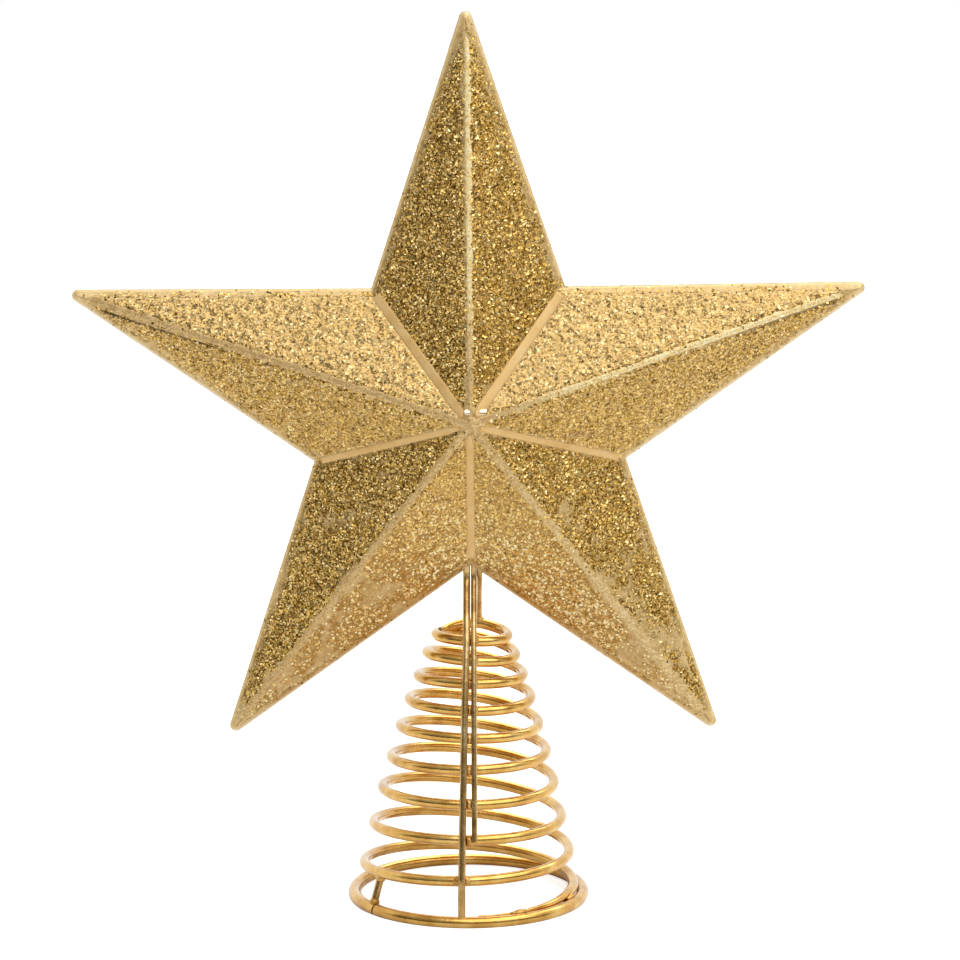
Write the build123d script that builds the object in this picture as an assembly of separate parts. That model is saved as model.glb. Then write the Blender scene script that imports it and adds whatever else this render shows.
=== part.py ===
from build123d import *
from math import acos, cos, floor, hypot, pi, radians, sin, sqrt, tan
import os

# A five pointed tree topper star of thin sheet metal on a conical coil of wire.
# Millimetres, +Z up, the star's front faces -Y, the origin is on the floor under the coil.

# The star's outline, along the middle of its rim wire
tip_rise = 102.0            # centre to the top tip
tip_reach = 105.4           # the same radius measured sideways: the star is a little wide
notch_rise = 38.4           # centre to the notches
notch_reach = 40.4          # the same radius measured sideways
star_neck = 19.5            # its bottom notch stands this far above the coil's upper end
star_shift = 0.33           # it stands this far to the right of the coil's axis
star_turn = 0.6             # degrees, the star stands turned a little to the left
star_depth = 17.0           # each half's centre stands this far out from the rim
sheet = 0.45                # thickness of the folded panels

# The rim wire
rim_wire_size = 3.2
panel_fit = 0.05            # between the rim wire and the panels that sit on it

# Solder along the ridges and over the two centres
seam_width = 3.4
seam_crest = 0.3            # height of the solder above the ridge
boss_radius = 3.3
boss_crest = 0.5            # height of the solder above the centre
boss_dome = 5.0             # radius of its rounded top

# The coil, counted in turns from its cut upper end
coil_wire_size = 2.8
coil_turns = 9              # whole turns from the right of the first loop to the landing
coil_start = 70.0           # degrees, where the upper end lies, seen from above
coil_tail = 79.0            # degrees of the base ring that the lower end lies along
coil_top_radius = 8.3
coil_low_radius = 28.4      # the radius that the loops grow to at the base
coil_pitch = 10.77          # drop of a turn just above the base
coil_pitch_loss = 0.355     # turns close up towards the top
coil_lean = 1.4             # the loops stand higher on the left and lower on the right
coil_nod = 0.5              # and higher in front than behind
coil_drift = 1.5            # the upper loops stand this far to the right of the base

# The base ring
ring_radius = 30.0          # to the middle of its wire
ring_wire_size = 3.2
ring_flat = 0.5             # worn flat where the part stands
ring_gap = 0.5              # gap at its butt joint
ring_joint_angle = 218.0    # degrees, front left
tail_inset = 2.5            # the coil's tail lies this far inside the ring

# The three wires that carry the star, and the strut under the lowest turn
front_stem_size = 1.9
side_stem_size = 1.5
rear_leg_size = 1.5
front_stem_x = -1.2         # places across the slot, from the middle of the notch
side_stem_x = 0.65
rear_leg_x = 2.3
stem_drop = 6.0             # the wires leave the notch straight, this far
stem_bend = 6.0             # bend radius of the three wires
foot_drift = -1.7           # the front stem's foot lies this far to the left
side_drift = 1.6            # the side stem's lower end lies this far to the right
strut_size = 2.0
strut_angle = 214.0         # degrees, front left

# The solder inside the notch that holds the three wires
anchor_width = 12.0
anchor_height = 8.0
anchor_lift = 3.0           # its underside above the notch

# Brazing
bead_radius = 2.1           # round beads at the wire ends
saddle_radius = 1.7         # barrel shaped beads where the stems cross the coil and along its tail
saddle_length = 5.2
saddle_end = 0.9            # radius of their flat ends
saddle_sink = 0.2           # their middle lies this far under the coil wire's surface
wire_fit = 0.25             # gap that the brazing fills

os.makedirs("parts", exist_ok=True)
FRONT = radians(-90)
POINTS = 5
rim_edge = rim_wire_size / 2 + panel_fit
step = 360 / POINTS


def save(shape, name):
    export_step(shape, "parts/" + name + ".step")


def rod(start, end, size):
    # a straight round rod between two points
    way = Vector(end) - Vector(start)
    return Solid.make_cylinder(size / 2, way.length, Plane(origin=start, z_dir=way))


def bent_wire(points, size, bend):
    # a round wire along straight runs with rounded corners
    path = FilletPolyline(*points, radius=bend)
    section = Plane(origin=path @ 0, z_dir=path % 0) * Circle(size / 2)
    return sweep(section, path=path).solid()


# The base ring: a hoop of wire with a butt joint, flat underneath
ring_height = ring_wire_size / 2 - ring_flat
ring_angle = 360 - ring_gap / ring_radius * 180 / pi
section = Plane(origin=(ring_radius, 0, ring_height), x_dir=(1, 0, 0), z_dir=(0, -1, 0))
hoop = revolve(section * Circle(ring_wire_size / 2), axis=Axis.Z, revolution_arc=ring_angle)
below = Pos(0, 0, -ring_wire_size) * Box(4 * ring_radius, 4 * ring_radius, 2 * ring_wire_size)
ring = (Rot(0, 0, ring_joint_angle) * hoop - below).solid()
save(ring, "base_ring")

# The coil: a right handed conical helix whose lower end lies on the base ring
landing = coil_turns + coil_start / 360
coil_end = landing + coil_tail / 360
tail_radius = ring_radius - tail_inset
tail_lift = (ring_wire_size + coil_wire_size) / 2 + wire_fit
tail_height = ring_height + sqrt(tail_lift ** 2 - tail_inset ** 2)


def ease(share):
    share = min(max(share, 0.0), 1.0)
    return share * share * (3 - 2 * share)


def coil_azimuth(turn):
    return radians(coil_start) - 2 * pi * turn


def coil_axis(turn):
    # how far a loop's middle lies to the right
    return coil_drift * max(landing - turn, 0.0) / landing


def coil_point(turn):
    left = max(landing - turn, 0.0)
    free_radius = coil_top_radius + (coil_low_radius - coil_top_radius) * turn / landing
    radius = free_radius + (tail_radius - free_radius) * ease(1 - left)
    height = tail_height + coil_pitch * left - coil_pitch_loss * left ** 2
    across, deep = cos(coil_azimuth(turn)), sin(coil_azimuth(turn))
    height -= (coil_lean * across + coil_nod * deep) * ease(left)
    return Vector(coil_axis(turn) + radius * across, radius * deep, height)


def coil_direction(turn):
    small = 1e-5
    return (coil_point(turn + small) - coil_point(turn)).normalized()


def arc_from(start, direction, end):
    # the circular arc that leaves start in a given direction and ends at end
    chord = end - start
    unit = chord.normalized()
    side = (direction - unit * direction.dot(unit)).normalized()
    turn = acos(max(-1.0, min(1.0, direction.dot(unit))))
    middle = start + chord / 2 + side * (chord.length / 2 * tan(turn / 2))
    return ThreePointArc(start, middle, end), chord.length / 2 / sin(turn)


def biarc(start, leave, end, arrive):
    # two arcs that meet in line and keep both end directions
    chord = end - start
    both = leave + arrive
    spread = 2 * (1 - leave.dot(arrive))
    reach = -chord.dot(both) + sqrt(chord.dot(both) ** 2 + spread * chord.dot(chord))
    reach = reach / spread
    joint = (start + leave * reach + end - arrive * reach) / 2
    first_arc, first_bend = arc_from(start, leave, joint)
    back_arc, second_bend = arc_from(end, -arrive, joint)
    return [first_arc, back_arc], min(first_bend, second_bend)


quarters = floor(landing * 4)
stops = [landing - quarter / 4 for quarter in range(quarters, -1, -1)]
stops = [0.0] + stops + [coil_end]
start_point, start_way = coil_point(0), coil_direction(0)
end_point, end_way = coil_point(coil_end), coil_direction(coil_end)
coil_edges = [Line(start_point - start_way * coil_wire_size, start_point)]
bends = []
for here, there in zip(stops, stops[1:]):
    arcs, bend = biarc(
        coil_point(here), coil_direction(here), coil_point(there), coil_direction(there))
    coil_edges += arcs
    bends.append(bend)
coil_edges.append(Line(end_point, end_point + end_way * coil_wire_size))
coil_path = Wire([edge.edge() for edge in coil_edges])
coil_section = Plane(origin=start_point - start_way * coil_wire_size, z_dir=start_way)
coil = sweep(coil_section * Circle(coil_wire_size / 2), path=coil_path).solid()
save(coil, "coil")

samples = [coil_point(coil_end * i / 1200) for i in range(1201)]
half_turn = int(600 / coil_end)
gaps = []
for i in range(0, len(samples), 4):
    for other in samples[i + half_turn:]:
        gaps.append((samples[i] - other).length)
swept = pi * coil_wire_size ** 2 / 4 * coil_path.length
print("coil: least gap to itself", round(min(gaps) - coil_wire_size, 2))
print("coil: tightest bend", round(min(bends), 2))
print("coil: volume", round(coil.volume, 1), "section times length", round(swept, 1))

# The star, worked out about its own centre, front towards -Y
def star_point(angle, rise, reach, y=0.0):
    return Vector(reach * sin(radians(angle)), y, rise * cos(radians(angle)))


def tip(index, y=0.0, share=1.0):
    return star_point(index * step, tip_rise * share, tip_reach * share, y)


def notch(index, y=0.0, share=1.0):
    return star_point((index + 0.5) * step, notch_rise * share, notch_reach * share, y)


def polyhedron(faces):
    return Solid(Shell([make_face(Polyline(*corners, close=True)).face() for corners in faces]))


def half_star(share):
    # one half of the star as a solid pyramid, at full size or shrunk to the inside of the sheet
    peak = Vector(0, -rim_edge - star_depth * share, 0)
    outline = []
    for index in range(POINTS):
        outline += [tip(index, -rim_edge, share), notch(index, -rim_edge, share)]
    sides = [(peak, outline[i - 1], outline[i]) for i in range(len(outline))]
    return polyhedron(sides + [outline])


# Shrinking towards the middle of the rim keeps every facet parallel and one sheet away.
edge_run = tip(0) - notch(0)
edge_distance = abs(tip(0).X * notch(0).Z - tip(0).Z * notch(0).X) / edge_run.length
facet_distance = star_depth * edge_distance / hypot(star_depth, edge_distance)
inside = 1 - sheet / facet_distance
peak = Vector(0, -rim_edge - star_depth, 0)
inner_peak = Vector(0, -rim_edge - star_depth * inside, 0)
half_outside = half_star(1.0)
half_inside = half_star(inside)


def panel(index):
    # one sheet folded along the valley of a notch, reaching from ridge to ridge
    left, fold, right = tip(index, -rim_edge), notch(index, -rim_edge), tip(index + 1, -rim_edge)
    left_in = tip(index, -rim_edge, inside)
    fold_in = notch(index, -rim_edge, inside)
    right_in = tip(index + 1, -rim_edge, inside)
    return polyhedron([
        (peak, left, fold),
        (peak, fold, right),
        (inner_peak, left_in, fold_in),
        (inner_peak, fold_in, right_in),
        (left, fold, fold_in, left_in),
        (fold, right, right_in, fold_in),
        (peak, left, left_in, inner_peak),
        (peak, right, right_in, inner_peak),
    ])


in_front = Pos(0, -rim_edge - star_depth, 0) * Box(4 * tip_reach, 2 * star_depth, 4 * tip_reach)
boss_core = Solid.make_cylinder(
    boss_radius, 4 * star_depth, Plane(origin=(0, -3 * star_depth, 0), z_dir=(0, 1, 0)))


def ridge_seam(index):
    # a low round bead of solder, as wide as asked, over the ridge to one tip
    end = tip(index, -rim_edge)
    along = (end - peak).normalized()
    across = along.cross(Vector(0, 1, 0)).normalized()
    outward = along.cross(across).normalized()
    outward = outward if outward.Y < 0 else -outward
    facet = (notch(index, -rim_edge) - peak).cross(along).normalized()
    down_facet = along.cross(facet).normalized()
    fall = abs(down_facet.dot(outward))
    half_width = seam_width / 2
    sink = (half_width ** 2 - seam_crest ** 2) / (2 * (half_width * fall + seam_crest))
    bead = rod(peak - outward * sink, end - outward * sink, 2 * (sink + seam_crest))
    return (bead & in_front) - half_outside - boss_core


def centre_boss():
    # a dome of solder where the five ridges meet
    top = peak + Vector(0, -boss_crest, 0)
    dome = Pos(top + Vector(0, boss_dome, 0)) * Sphere(boss_dome)
    return (dome & boss_core) - half_outside


star_centre = coil_point(0).Z + star_neck + notch_rise
stand = Pos(star_shift, 0, star_centre) * Rot(0, -star_turn, 0)
panel_names = ["upper_right", "lower_right", "bottom", "lower_left", "upper_left"]
seam_names = ["top", "right", "lower_right", "lower_left", "left"]
for index in range(POINTS):
    folded = panel(index)
    bead = ridge_seam(index).solid()
    save(stand * folded, "front_panel_" + panel_names[index])
    save(stand * mirror(folded, about=Plane.XZ), "back_panel_" + panel_names[index])
    save(stand * bead, "front_seam_" + seam_names[index])
    save(stand * mirror(bead, about=Plane.XZ), "back_seam_" + seam_names[index])
boss = centre_boss().solid()
save(stand * boss, "front_boss")
save(stand * mirror(boss, about=Plane.XZ), "back_boss")

# The rim: one wire bent round the outline, with a slot at the bottom notch for three wires
mouth = notch(POINTS // 2)
route = [corner for index in range(POINTS) for corner in (tip(index), notch(index))]
rim = rod(route[-1], route[0], rim_wire_size) + Pos(route[0]) * Sphere(rim_wire_size / 2)
for start, end in zip(route, route[1:]):
    rim = rim + rod(start, end, rim_wire_size) + Pos(end) * Sphere(rim_wire_size / 2)
slot_left = front_stem_x - front_stem_size / 2 - wire_fit
slot_right = rear_leg_x + rear_leg_size / 2 + wire_fit
slot_middle = Vector((slot_left + slot_right) / 2, 0, 0)
slot = Box(slot_right - slot_left, front_stem_size + 2 * wire_fit, 4 * rim_wire_size)
save(stand * (rim - Pos(mouth + slot_middle) * slot).solid(), "rim_wire")

# The three wires run from the star's notch: two down the coil's front, one to its upper end
mouth_point = stand * Pos(mouth)
mouth_x, mouth_z = mouth_point.position.X, mouth_point.position.Z
stem_top = mouth_z + anchor_lift + anchor_height
stem_exit = mouth_z - stem_drop
first_front = (coil_start + 90) / 360
front_turns = floor(landing - first_front) + 1


def front_loop(index):
    # radius and height of a loop where it crosses the front
    index = min(max(index, 0), front_turns - 1)
    loop = coil_point(first_front + index)
    return -loop.Y, loop.Z


def cone_normal(index):
    # square to the cone of loops at the front, forwards and up
    upper_radius, upper_height = front_loop(index - 1)
    lower_radius, lower_height = front_loop(index + 1)
    return Vector(0, lower_height - upper_height, lower_radius - upper_radius).normalized()


def front_touch(index, reach, x):
    # a place at a given distance in front of the middle of a loop's wire
    radius, height = front_loop(index)
    place = Vector(0, -radius, height) + cone_normal(index) * reach
    aside = x - coil_axis(first_front + index)
    return Vector(x, -sqrt(place.Y ** 2 - aside ** 2), place.Z)


def drift(start, end, index, last_index):
    return start + (end - start) * index / last_index


stem_x = mouth_x + front_stem_x
side_x = mouth_x + side_stem_x
leg_x = mouth_x + rear_leg_x
last_turn = front_turns - 1
foot = Vector(foot_drift, -sqrt(ring_radius ** 2 - foot_drift ** 2), ring_height)
stem_points = [Vector(stem_x, 0, stem_top), Vector(stem_x, 0, stem_exit)]
side_points = [Vector(side_x, 0, stem_top), Vector(side_x, 0, stem_exit)]
stem_reach = (coil_wire_size + front_stem_size) / 2 + wire_fit
side_reach = (coil_wire_size + side_stem_size) / 2 + wire_fit
saddle_places = []
for index in range(front_turns):
    here_x = drift(stem_x, foot_drift, index, last_turn)
    beside_x = drift(side_x, side_drift, index, last_turn)
    stem_points.append(front_touch(index, stem_reach, here_x))
    if index < last_turn:
        side_points.append(front_touch(index, side_reach, beside_x))
    else:
        beside_x = here_x
    middle_x = (here_x + beside_x) / 2
    saddle_places.append(front_touch(index, coil_wire_size / 2 - saddle_sink, middle_x))
stem_points.append(foot)
front_stem = bent_wire(stem_points, front_stem_size, stem_bend) - ring
front_stem = front_stem.solids().sort_by(SortBy.VOLUME)[-1]
save(front_stem, "front_stem")
side_stem = bent_wire(side_points, side_stem_size, stem_bend)
save(side_stem, "side_stem")

leg_foot = coil_point(0)
leg_points = [
    Vector(leg_x, 0, stem_top),
    Vector(leg_x, 0, stem_exit),
    leg_foot + Vector(0, 0, coil_wire_size + stem_drop),
    leg_foot,
]
rear_leg = (bent_wire(leg_points, rear_leg_size, stem_bend) - coil).solids()
rear_leg = rear_leg.sort_by(Axis.Z)[-1]
save(rear_leg, "rear_leg")

# The strut between the lowest loop and the base ring
strut_turn = last_turn + (coil_start + 360 - strut_angle) / 360
strut_top = coil_point(strut_turn)
strut_foot = Vector(
    ring_radius * cos(radians(strut_angle)), ring_radius * sin(radians(strut_angle)), ring_height)
strut = (rod(strut_foot, strut_top, strut_size) - ring - coil).solid()
save(strut, "base_strut")

# The solder in the notch fills the hollow between the front and back panels
hollow = half_inside + mirror(half_inside, about=Plane.XZ)
slab = [point for i in range(POINTS) for point in (tip(i, 0, inside), notch(i, 0, inside))]
slab = extrude(make_face(Polyline(*slab, close=True)), amount=rim_edge, both=True)
anchor_place = mouth + Vector(0, 0, anchor_lift + anchor_height / 2)
block = Pos(anchor_place) * Box(anchor_width, 4 * star_depth, anchor_height)
anchor = stand * ((hollow + slab) & block) - front_stem - side_stem - rear_leg
save(anchor.solid(), "stem_anchor")

# Beads of brazing where the wires cross, touch or end
half_saddle = saddle_length / 2
barrel = [
    Line((half_saddle, saddle_end), (half_saddle, 0)),
    Line((half_saddle, 0), (-half_saddle, 0)),
    Line((-half_saddle, 0), (-half_saddle, saddle_end)),
    ThreePointArc((-half_saddle, saddle_end), (0, saddle_radius), (half_saddle, saddle_end)),
]
saddle = revolve(make_face(barrel), axis=Axis.X).solid()
blanks = [Pos(place) * saddle for place in saddle_places]
bead_places = [
    leg_foot + Vector(0, 0, coil_wire_size / 2),
    strut_top + (strut_foot - strut_top).normalized() * coil_wire_size / 2,
    strut_foot + (strut_top - strut_foot).normalized() * ring_wire_size / 2,
]
blanks += [Pos(place) * Sphere(bead_radius).solid() for place in bead_places]
for share in (0.3, 0.8):
    turn = landing + coil_tail / 360 * share
    tail, along = coil_point(turn), coil_direction(turn)
    beside_tail = Vector(tail.X, tail.Y, 0) * (ring_radius / tail_radius) + Vector(0, 0, ring_height)
    upward = along.cross(Vector(0, 0, 1)).cross(along)
    blanks.append(Plane((tail + beside_tail) / 2, x_dir=along, z_dir=upward) * saddle)
beads = []
for blank in blanks:
    beads += (blank - coil - ring - front_stem - side_stem - rear_leg - strut).solids()
save(Compound(beads), "braze_beads")
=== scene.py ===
from math import cos, fsum, pi, radians, sin, sqrt

import bmesh
import bpy
from mathutils import Matrix, Vector, noise


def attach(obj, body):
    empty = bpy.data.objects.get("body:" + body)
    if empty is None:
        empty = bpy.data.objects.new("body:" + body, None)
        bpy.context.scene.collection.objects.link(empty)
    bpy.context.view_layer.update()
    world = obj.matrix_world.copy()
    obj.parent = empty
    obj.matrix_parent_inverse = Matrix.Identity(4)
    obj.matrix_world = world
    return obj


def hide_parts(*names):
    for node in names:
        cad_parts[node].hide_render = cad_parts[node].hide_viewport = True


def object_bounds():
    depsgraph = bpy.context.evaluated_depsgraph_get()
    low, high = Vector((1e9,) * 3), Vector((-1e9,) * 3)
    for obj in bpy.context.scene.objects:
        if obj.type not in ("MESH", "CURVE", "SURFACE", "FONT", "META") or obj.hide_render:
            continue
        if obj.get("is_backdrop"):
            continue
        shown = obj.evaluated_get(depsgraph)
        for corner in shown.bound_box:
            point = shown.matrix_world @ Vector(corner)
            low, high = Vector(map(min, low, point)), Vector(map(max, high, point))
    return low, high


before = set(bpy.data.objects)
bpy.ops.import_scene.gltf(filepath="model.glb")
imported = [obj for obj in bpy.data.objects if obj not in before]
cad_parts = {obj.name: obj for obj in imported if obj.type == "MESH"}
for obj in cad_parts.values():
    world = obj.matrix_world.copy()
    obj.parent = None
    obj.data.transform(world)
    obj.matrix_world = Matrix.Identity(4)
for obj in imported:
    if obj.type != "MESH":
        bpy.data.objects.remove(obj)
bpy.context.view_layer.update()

# Base ring: a hoop of gold plated steel wire, bent round to a butt joint, that the topper stands on.
# It is flat underneath. Its finish is made here: a polished gold, which the coil has too.


def put(nodes, kind, inputs=None, **settings):
    made = nodes.new(kind)
    for key, value in settings.items():
        setattr(made, key, value)
    for key, value in (inputs or {}).items():
        made.inputs[key].default_value = value
    return made


def span(nodes, low, high, start=0.0, end=1.0, **settings):
    # turns values from low to high into values from start to end
    ends = {"From Min": low, "From Max": high, "To Min": start, "To Max": end}
    return put(nodes, "ShaderNodeMapRange", ends, **settings)


def tie(links, *ties):
    # each tie names a node and its output, then the node and the input that take it
    for source, out, target, into in ties:
        links.new(source.outputs[out], target.inputs[into])


def new_finish(name):
    finish = bpy.data.materials.new(name)
    finish.use_nodes = True
    nodes = finish.node_tree.nodes
    return finish, nodes, finish.node_tree.links, nodes["Principled BSDF"]


def colour_steps(nodes, *steps):
    ramp = put(nodes, "ShaderNodeValToRGB")
    ramp.color_ramp.elements[0].position = steps[0][0]
    ramp.color_ramp.elements[0].color = (*steps[0][1], 1)
    ramp.color_ramp.elements[1].position = steps[-1][0]
    ramp.color_ramp.elements[1].color = (*steps[-1][1], 1)
    for place, colour in steps[1:-1]:
        ramp.color_ramp.elements.new(place).color = (*colour, 1)
    return ramp


def gold_plate(name, deep, middle, pale, shine, dull, pit_depth, lacquer=0.0, metal=1.0):
    # gold plate or gold paint: cloudy tone, uneven shine, fine pits and a thin clear lacquer
    finish, nodes, links, shader = new_finish(name)
    place = put(nodes, "ShaderNodeTexCoord")
    cloud = put(nodes, "ShaderNodeTexNoise", {"Scale": 170.0, "Detail": 5.0, "Roughness": 0.62})
    tone = colour_steps(nodes, (0.32, deep), (0.52, middle), (0.72, pale))
    smear = put(nodes, "ShaderNodeTexNoise", {"Scale": 420.0, "Detail": 3.0})
    gloss = span(nodes, 0.3, 0.7, shine, dull)
    pits = put(nodes, "ShaderNodeTexNoise", {"Scale": 1500.0, "Detail": 4.0, "Roughness": 0.7})
    dents = put(nodes, "ShaderNodeBump", {"Strength": pit_depth, "Distance": 0.0004})
    tie(links, (place, "Object", cloud, "Vector"), (place, "Object", smear, "Vector"),
        (place, "Object", pits, "Vector"), (cloud, "Fac", tone, "Fac"), (smear, "Fac", gloss, "Value"),
        (pits, "Fac", dents, "Height"), (tone, "Color", shader, "Base Color"),
        (gloss, "Result", shader, "Roughness"), (dents, "Normal", shader, "Normal"))
    shader.inputs["Metallic"].default_value = metal
    shader.inputs["Coat Weight"].default_value = lacquer
    shader.inputs["Coat Roughness"].default_value = 0.12
    return finish


polished_gold = gold_plate(
    "polished_gold_wire", (0.57, 0.28, 0.04), (0.75, 0.43, 0.085), (0.89, 0.62, 0.21), 0.10, 0.24, 0.10, 0.8)


def dress(node, finish):
    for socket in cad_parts[node].material_slots:
        socket.material = finish


dress("base_ring", polished_gold)

# Coil: one length of gold plated wire wound into a cone that slips over the tree's top shoot.
# Its loops grow and open towards the base. The upper end is closed down on to the first loop, and the
# tail lies brazed along the base ring, flattened to a thin end.
coil_sizes = {
    "Landing": 9 + 70 / 360, "Tail": 79 / 360, "Start": radians(70), "Top Radius": 8.3, "Low Radius": 28.4,
    "Tail Radius": 27.5, "Tail Height": 3.1767, "Pitch": 10.77, "Pitch Loss": 0.355, "Lean": 1.4, "Nod": 0.5,
    "Drift": 1.5, "Wire": 2.8, "Upper End": 0.27, "Lower End": 0.0162, "Thinning": 0.85, "Closing": 3.3,
    "Waver": 0.22,
}


def new_tree(name, sizes, takes_mesh):
    group = bpy.data.node_groups.new(name, "GeometryNodeTree")
    group.interface.new_socket("Geometry", in_out="OUTPUT", socket_type="NodeSocketGeometry")
    if takes_mesh:
        group.interface.new_socket("Geometry", in_out="INPUT", socket_type="NodeSocketGeometry")
    for label in sizes:
        group.interface.new_socket(label, in_out="INPUT", socket_type="NodeSocketFloat")
    group.interface.new_socket("Material", in_out="INPUT", socket_type="NodeSocketMaterial")
    return group, group.nodes.new("NodeGroupInput"), group.nodes.new("NodeGroupOutput")


def grown(name, mesh, group, sizes, finish):
    # runs a tree on a mesh and keeps the result as a plain mesh
    worker = bpy.data.objects.new(name + "_worker", mesh)
    bpy.context.collection.objects.link(worker)
    modifier = worker.modifiers.new("grow", "NODES")
    modifier.node_group = group
    for item in group.interface.items_tree:
        if item.in_out == "INPUT" and item.name in sizes:
            modifier[item.identifier] = sizes[item.name]
        if item.in_out == "INPUT" and item.name == "Material":
            modifier[item.identifier] = finish
    ready = worker.evaluated_get(bpy.context.evaluated_depsgraph_get())
    piece = bpy.data.objects.new(name, bpy.data.meshes.new_from_object(ready))
    piece.data.name = name
    bpy.data.objects.remove(worker)
    bpy.context.collection.objects.link(piece)
    return piece


group, given, result = new_tree("wound_coil", coil_sizes, False)


def calc(operation, *values):
    # a sum in the tree at hand
    made = put(group.nodes, "ShaderNodeMath", operation=operation)
    for socket, value in zip(made.inputs, values):
        if isinstance(value, bpy.types.NodeSocket):
            group.links.new(value, socket)
        else:
            socket.default_value = value
    return made.outputs[0]


def eased(share):
    # a share kept between 0 and 1, with a soft start and end
    share = calc("MINIMUM", calc("MAXIMUM", share, 0.0), 1.0)
    slowing = calc("SUBTRACT", 3.0, calc("MULTIPLY", share, 2.0))
    return calc("MULTIPLY", calc("MULTIPLY", share, share), slowing)


coil_steps = 1240
press_out, press_down = 1.08, 0.90
close_out, close_thinning, close_power = 0.45, 0.55, 4.0
waver_rate = 8.6
size = given.outputs
first_turn = calc("MULTIPLY", size["Upper End"], -1.0)
last_turn = calc("ADD", calc("ADD", size["Landing"], size["Tail"]), size["Lower End"])
number = put(group.nodes, "GeometryNodeInputIndex").outputs[0]
share = calc("DIVIDE", number, coil_steps - 1.0)
turn = calc("ADD", first_turn, calc("MULTIPLY", share, calc("SUBTRACT", last_turn, first_turn)))
azimuth = calc("SUBTRACT", size["Start"], calc("MULTIPLY", turn, 2 * pi))
left = calc("MAXIMUM", calc("SUBTRACT", size["Landing"], turn), 0.0)
growth = calc("DIVIDE", calc("SUBTRACT", size["Low Radius"], size["Top Radius"]), size["Landing"])
free_radius = calc("ADD", size["Top Radius"], calc("MULTIPLY", growth, turn))
landed = eased(calc("SUBTRACT", 1.0, left))
settle = calc("MULTIPLY", calc("SUBTRACT", size["Tail Radius"], free_radius), landed)
radius = calc("ADD", free_radius, settle)
climb = calc("SUBTRACT", calc("MULTIPLY", size["Pitch"], left),
             calc("MULTIPLY", size["Pitch Loss"], calc("MULTIPLY", left, left)))
right, deep = calc("COSINE", azimuth), calc("SINE", azimuth)
lean = calc("ADD", calc("MULTIPLY", size["Lean"], right), calc("MULTIPLY", size["Nod"], deep))
height = calc("SUBTRACT", calc("ADD", size["Tail Height"], climb), calc("MULTIPLY", lean, eased(left)))
# the tail thins towards its end and stays pressed to the base ring
tail_length = calc("ADD", size["Tail"], size["Lower End"])
along_tail = eased(calc("DIVIDE", calc("SUBTRACT", turn, size["Landing"]), tail_length))
thinned = calc("MULTIPLY", size["Thinning"], along_tail)
radius = calc("ADD", radius, calc("MULTIPLY", thinned, press_out))
height = calc("SUBTRACT", height, calc("MULTIPLY", thinned, press_down))
# the upper end comes down on to the first loop
shut = eased(calc("DIVIDE", turn, first_turn))
closed = calc("MULTIPLY", size["Closing"], shut)
radius = calc("ADD", radius, calc("MULTIPLY", closed, close_out))
height = calc("SUBTRACT", height, closed)
thinned = calc("ADD", thinned, calc("MULTIPLY", close_thinning, calc("POWER", shut, close_power)))
# wound by hand, the loops' heights waver
wave = calc("SINE", calc("MULTIPLY", turn, waver_rate))
height = calc("ADD", height, calc("MULTIPLY", calc("MULTIPLY", size["Waver"], eased(left)), wave))
drift = calc("MULTIPLY", size["Drift"], calc("DIVIDE", left, size["Landing"]))
spot = put(group.nodes, "ShaderNodeCombineXYZ")
for axis, value in zip("XYZ", (calc("ADD", drift, calc("MULTIPLY", radius, right)),
                               calc("MULTIPLY", radius, deep), height)):
    group.links.new(calc("MULTIPLY", value, 0.001), spot.inputs[axis])
strip = put(group.nodes, "GeometryNodeMeshLine", {"Count": coil_steps})
bend = put(group.nodes, "GeometryNodeSetPosition")
path = put(group.nodes, "GeometryNodeMeshToCurve")
section = put(group.nodes, "GeometryNodeCurvePrimitiveCircle", {"Resolution": 20})
tube = put(group.nodes, "GeometryNodeCurveToMesh", {"Fill Caps": True})
smooth = put(group.nodes, "GeometryNodeSetShadeSmooth")
realize = put(group.nodes, "GeometryNodeRealizeInstances")
paint = put(group.nodes, "GeometryNodeSetMaterial")
tie(group.links, (strip, "Mesh", bend, "Geometry"), (spot, "Vector", bend, "Position"),
    (bend, "Geometry", path, "Mesh"), (path, "Curve", tube, "Curve"))
group.links.new(calc("SUBTRACT", 1.0, thinned), tube.inputs["Scale"])
group.links.new(calc("MULTIPLY", size["Wire"], 0.0005), section.inputs["Radius"])
tie(group.links, (section, "Curve", tube, "Profile Curve"), (tube, "Mesh", smooth, "Geometry"),
    (smooth, "Geometry", realize, "Geometry"), (realize, "Geometry", paint, "Geometry"),
    (given, "Material", paint, "Material"), (paint, "Geometry", result, "Geometry"))
coil = grown("wound_coil", bpy.data.meshes.new("coil_seed"), group, coil_sizes, polished_gold)
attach(coil, "root")
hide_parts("coil")

# Strut, stems and rear leg: thinner plated wires that carry the star on the coil.
# The two stems run down the front of the loops, and the leg stands on the coil's upper end.
stem_gold = gold_plate(
    "stem_gold_wire", (0.39, 0.225, 0.065), (0.61, 0.39, 0.135), (0.84, 0.62, 0.31), 0.14, 0.30, 0.16, 0.4)
for node in ("front_stem", "side_stem", "base_strut"):
    dress(node, stem_gold)


def keep(name, body, finish, slot, *nodes):
    # turns a worked shape into a piece of the part
    bmesh.ops.recalc_face_normals(body, faces=body.faces)
    mesh = bpy.data.meshes.new(name)
    body.to_mesh(mesh)
    body.free()
    mesh.materials.append(finish)
    piece = bpy.data.objects.new(name, mesh)
    bpy.context.collection.objects.link(piece)
    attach(piece, "root")
    if nodes:
        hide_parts(*nodes)
    return piece


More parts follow.
